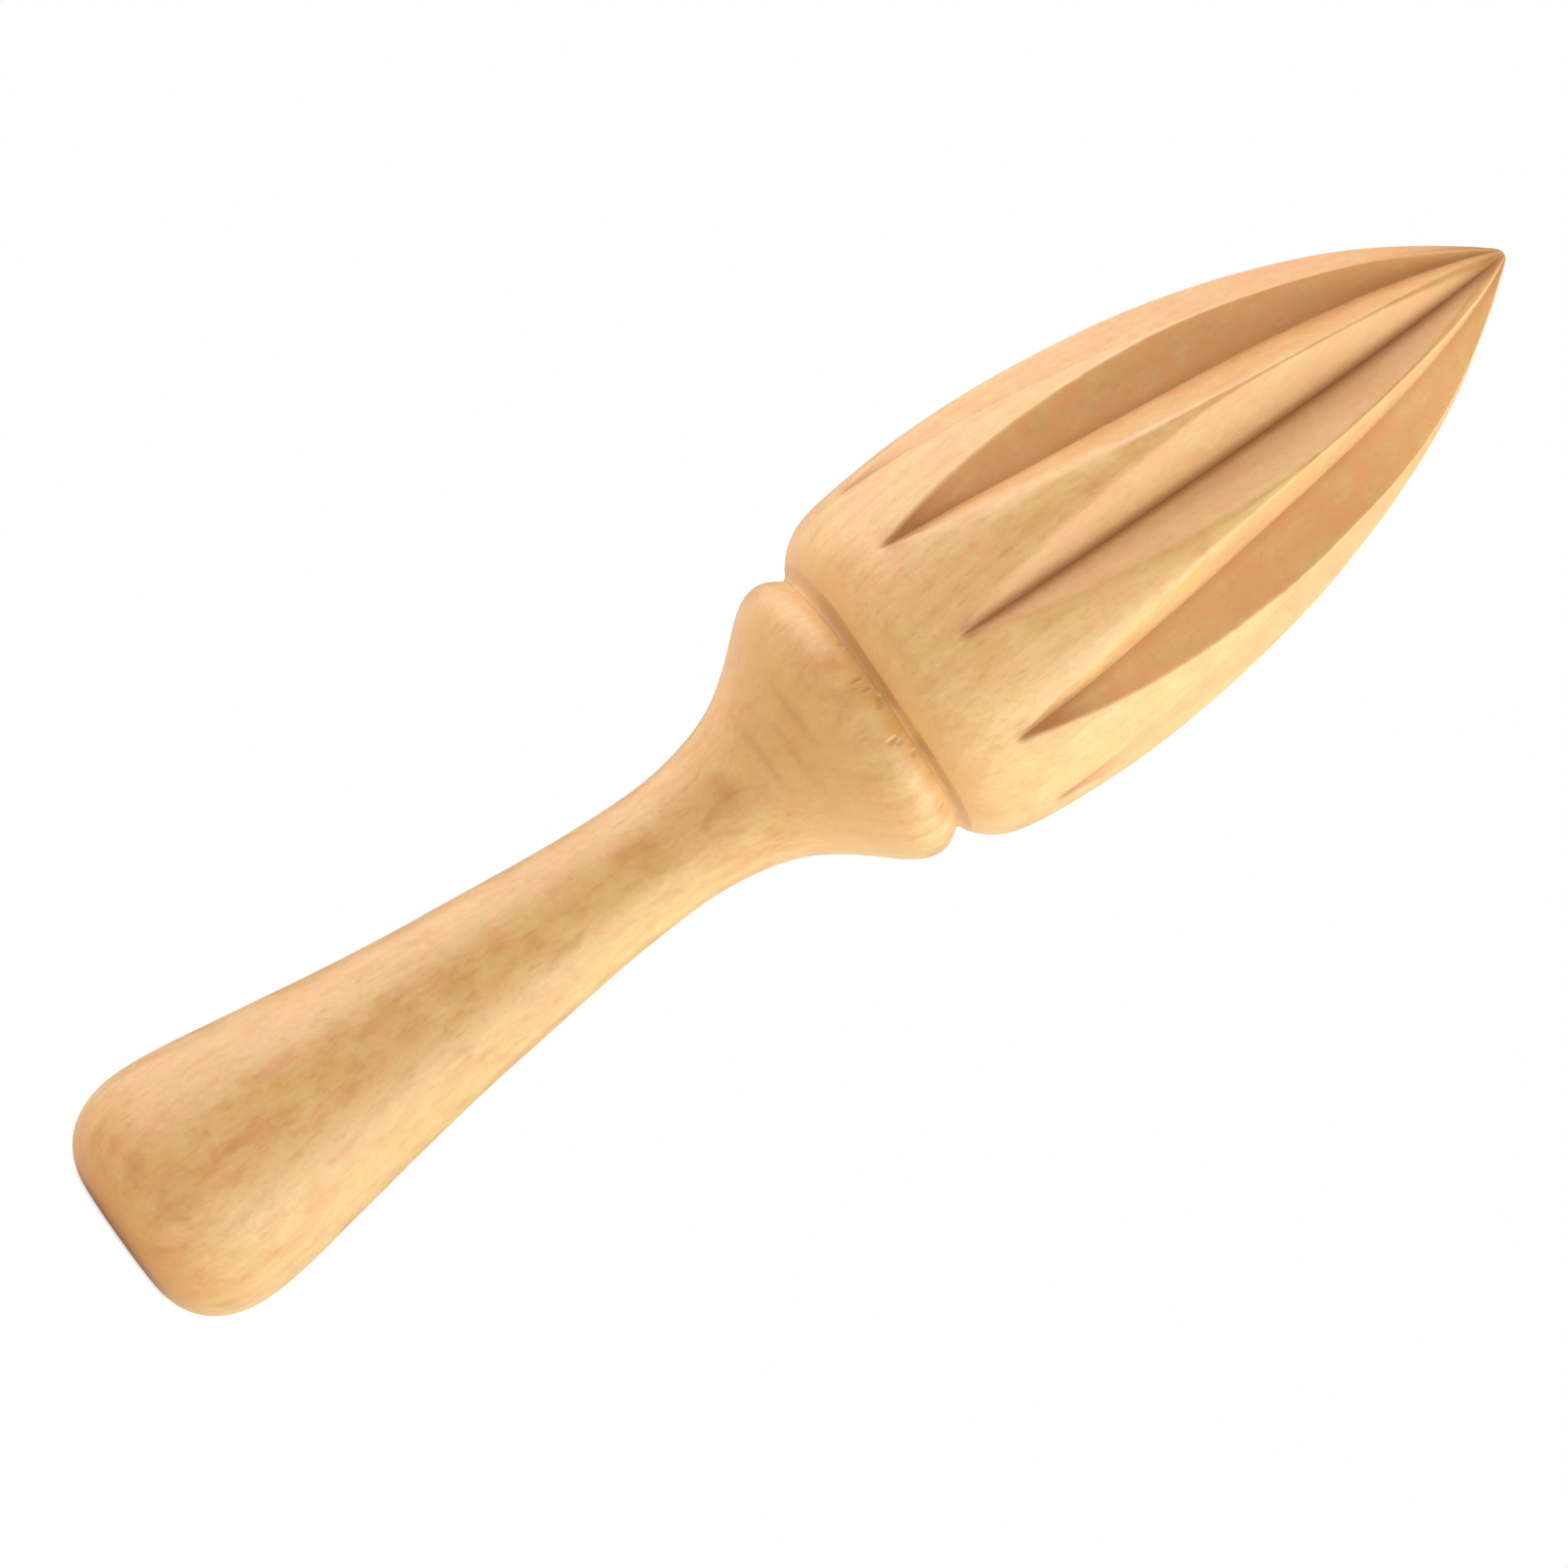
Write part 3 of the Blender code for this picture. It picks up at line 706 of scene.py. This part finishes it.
    # satin that is rougher on end grain, along raised fibres, on milled walls
    # and where fibres are torn
    rough = t.band(mottle, 0.30, 0.72, 0.37, 0.47)
    rough = t.math("ADD", rough, t.math("MULTIPLY", fibre, 0.06))
    rough = t.math("ADD", rough, t.math("MULTIPLY", ends, 0.08))
    if "milled" in masks:
        rough = t.math("ADD", rough,
                       t.math("MULTIPLY", t.attribute("milled"), 0.07))
    if "torn" in masks:
        rough = t.math("ADD", rough,
                       t.math("MULTIPLY", t.attribute("torn"), 0.2))
    t.put(t.shader.inputs["Roughness"], rough)
    t.shader.inputs["Metallic"].default_value = 0.0
    t.shader.inputs["IOR"].default_value = 1.5
    t.shader.inputs["Specular IOR Level"].default_value = 0.85
    t.shader.inputs["Sheen Weight"].default_value = 0.28
    t.shader.inputs["Sheen Roughness"].default_value = 0.45

    # relief: raised fibres, open pores, rings standing a little proud
    height = t.math("MULTIPLY", fibre, 0.35)
    height = t.math("ADD", height, t.math("MULTIPLY", mottle, 0.9))
    height = t.math("ADD", height, t.math("MULTIPLY", pores, -0.25))
    height = t.math("ADD", height, t.math("MULTIPLY", late, 0.20))
    height = t.math("ADD", height, t.math("MULTIPLY", fleck, -0.30))
    if "milled" in masks:
        ripple = t.noise(t.stretch(mm, (0.5, 0.5, 1.7), (4, 4, 9)), 1.0, 1.0)
        height = t.math("ADD", height, t.math(
            "MULTIPLY", t.math("MULTIPLY", ripple, t.attribute("milled")), 0.8))
    bump = t.node("ShaderNodeBump")
    bump.inputs["Strength"].default_value = 0.35
    bump.inputs["Distance"].default_value = 0.00006
    t.put(bump.inputs["Height"], height)
    t.put(t.shader.inputs["Normal"], bump.outputs["Normal"])
    return material


# ------------------------------------------------------------------- pieces
handle = handle_piece()
head = head_piece()
handle.data.materials.append(wood_material(
    "turned_handle_wood", (46.0, 58.0), (15.0, 4.0, 9.0), ("torn",)))
head.data.materials.append(wood_material(
    "turned_head_wood", (-52.0, 49.0), (8.0, 27.0, 60.0), ("milled",)))
for piece, node, material_slot in ((handle, "handle", "handle_wood"),
                                   (head, "reamer_head", "head_wood")):
    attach(piece, "root")
    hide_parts(node)


# ------------------------------------------------------------- floor, lights
def floor_material():
    """Pale floor that reads as a white sweep: to the camera it glows white, the
    glow painted dimmer towards the object so that a hint of shadow shows; to
    other rays it is matt, with a faint painted glow under the butt.
    """
    material = bpy.data.materials.new("pale_floor")
    t = Tree(material)
    t.shader.inputs["Base Color"].default_value = (0.80, 0.80, 0.80, 1.0)
    t.shader.inputs["Roughness"].default_value = 0.9
    t.shader.inputs["Specular IOR Level"].default_value = 0.0
    place = t.node("ShaderNodeTexCoord").outputs["Object"]
    reach = t.node("ShaderNodeVectorMath", operation="LENGTH")
    t.put(reach.inputs[0], place)
    # the camera sees the floor glow, painted dimmer towards the object so that a
    # faint shadow shows round it
    glow = t.node("ShaderNodeEmission")
    t.put(glow.inputs["Strength"], t.band(reach.outputs["Value"], 0.05, 0.45,
                                          0.72, 1.0))
    both = t.node("ShaderNodeAddShader")
    t.put(both.inputs[0], t.shader.outputs[0])
    t.put(both.inputs[1], glow.outputs[0])
    either = t.node("ShaderNodeMixShader")
    ray = t.node("ShaderNodeLightPath")
    t.put(either.inputs["Fac"], ray.outputs["Is Camera Ray"])
    # painted light: to other rays the floor glows faintly right under the butt,
    # lightening its contact shade
    bounce = t.node("ShaderNodeEmission")
    t.put(bounce.inputs["Strength"], t.band(reach.outputs["Value"], 0.008,
                                            0.030, 0.06, 0.0))
    lit = t.node("ShaderNodeAddShader")
    t.put(lit.inputs[0], t.shader.outputs[0])
    t.put(lit.inputs[1], bounce.outputs[0])
    t.put(either.inputs[1], lit.outputs[0])
    t.put(either.inputs[2], both.outputs[0])
    t.put(t.nt.nodes["Material Output"].inputs[0], either.outputs[0])
    return material


floor_mesh = bpy.data.meshes.new("floor")
SIDE = 30.0
floor_mesh.from_pydata([(-SIDE, -SIDE, 0), (SIDE, -SIDE, 0), (SIDE, SIDE, 0),
                        (-SIDE, SIDE, 0)], [], [(0, 1, 2, 3)])
floor = bpy.data.objects.new("floor", floor_mesh)
floor.location.z = -0.0002
floor.data.materials.append(floor_material())
bpy.context.scene.collection.objects.link(floor)

world = bpy.data.worlds.new("studio")
world.use_nodes = True
seen = world.node_tree.nodes["Background"]
seen.inputs["Color"].default_value = (1.0, 1.0, 1.0, 1.0)
seen.inputs["Strength"].default_value = 1.0
fill = world.node_tree.nodes.new("ShaderNodeBackground")
fill.inputs["Color"].default_value = (1.0, 0.86, 0.72, 1.0)
fill.inputs["Strength"].default_value = 0.10
either = world.node_tree.nodes.new("ShaderNodeMixShader")
ray = world.node_tree.nodes.new("ShaderNodeLightPath")
world.node_tree.links.new(ray.outputs["Is Camera Ray"], either.inputs["Fac"])
world.node_tree.links.new(fill.outputs[0], either.inputs[1])
world.node_tree.links.new(seen.outputs[0], either.inputs[2])
world.node_tree.links.new(either.outputs[0],
                          world.node_tree.nodes["World Output"].inputs[0])
bpy.context.scene.world = world

AIM = Vector((0.0015, 0.0, 0.0768))


def softbox(name, azimuth, elevation, width, height, radiance, colour,
            distance=0.75):
    """Area light round the object; azimuth from the camera's side to +X."""
    a, e = math.radians(azimuth), math.radians(elevation)
    way = Vector((math.sin(a) * math.cos(e), -math.cos(a) * math.cos(e),
                  math.sin(e)))
    data = bpy.data.lights.new(name, "AREA")
    data.shape = "RECTANGLE"
    data.size, data.size_y = width, height
    data.energy = radiance * math.pi * width * height
    data.color = colour
    lamp = bpy.data.objects.new(name, data)
    lamp.location = AIM + way * distance
    lamp.rotation_mode = "QUATERNION"
    lamp.rotation_quaternion = way.to_track_quat("Z", "Y")
    lamp.visible_camera = False
    bpy.context.scene.collection.objects.link(lamp)
    return lamp


# soft side light from both sides, low and high, a weak fill in front and
# two narrow rim lights behind
ROSY, WARM, PLAIN = (1.0, 0.99, 0.93), (0.90, 1.0, 0.92), (0.97, 1.0, 0.97)
YELLOW = (0.90, 1.0, 0.82)
softbox("softbox_left", -75, 6, 0.74, 0.36, 3.2, ROSY)
softbox("softbox_left_high", -82, 36, 0.50, 0.36, 4.6, ROSY)
softbox("softbox_right", 60, 6, 0.36, 0.36, 4.9, WARM)
softbox("softbox_right_side", 92, 22, 0.34, 0.66, 3.4, YELLOW)
softbox("softbox_right_high", 72, 34, 0.34, 0.34, 4.2, PLAIN)
softbox("softbox_front", 0, 20, 0.60, 0.50, 0.80, PLAIN)
softbox("softbox_front_right", 36, 12, 0.36, 0.40, 1.35, WARM)
softbox("rim_left", -119, 14, 0.34, 0.56, 2.2, PLAIN)
softbox("rim_right", 121, 8, 0.34, 0.44, 2.2, YELLOW)
softbox("softbox_back", 152, 36, 0.36, 0.36, 4.0, PLAIN)

# ------------------------------------------------------------------- camera
TILT = math.radians(4.74)          # the camera is a little on the butt's side
ROLL = math.radians(35.423)        # the axis rises to the right by this much
DISTANCE = 0.5681
up_axis = Vector((0.0, -math.sin(TILT), math.cos(TILT)))
side = Vector((1.0, 0.0, 0.0))
right = up_axis * math.cos(ROLL) + side * math.sin(ROLL)
up = up_axis * math.sin(ROLL) - side * math.cos(ROLL)
back = Vector((0.0, -math.cos(TILT), -math.sin(TILT)))
camera_data = bpy.data.cameras.new("camera")
camera_data.sensor_width = 36.0
camera_data.lens = 135.0
camera_data.clip_start, camera_data.clip_end = 0.01, 100.0
camera = bpy.data.objects.new("camera", camera_data)
where = AIM + back * DISTANCE
camera.matrix_world = Matrix((
    (right.x, up.x, back.x, where.x), (right.y, up.y, back.y, where.y),
    (right.z, up.z, back.z, where.z), (0.0, 0.0, 0.0, 1.0)))
bpy.context.scene.collection.objects.link(camera)
bpy.context.scene.camera = camera

settings = bpy.context.scene.view_settings
settings.view_transform = "Standard"
settings.look = "None"
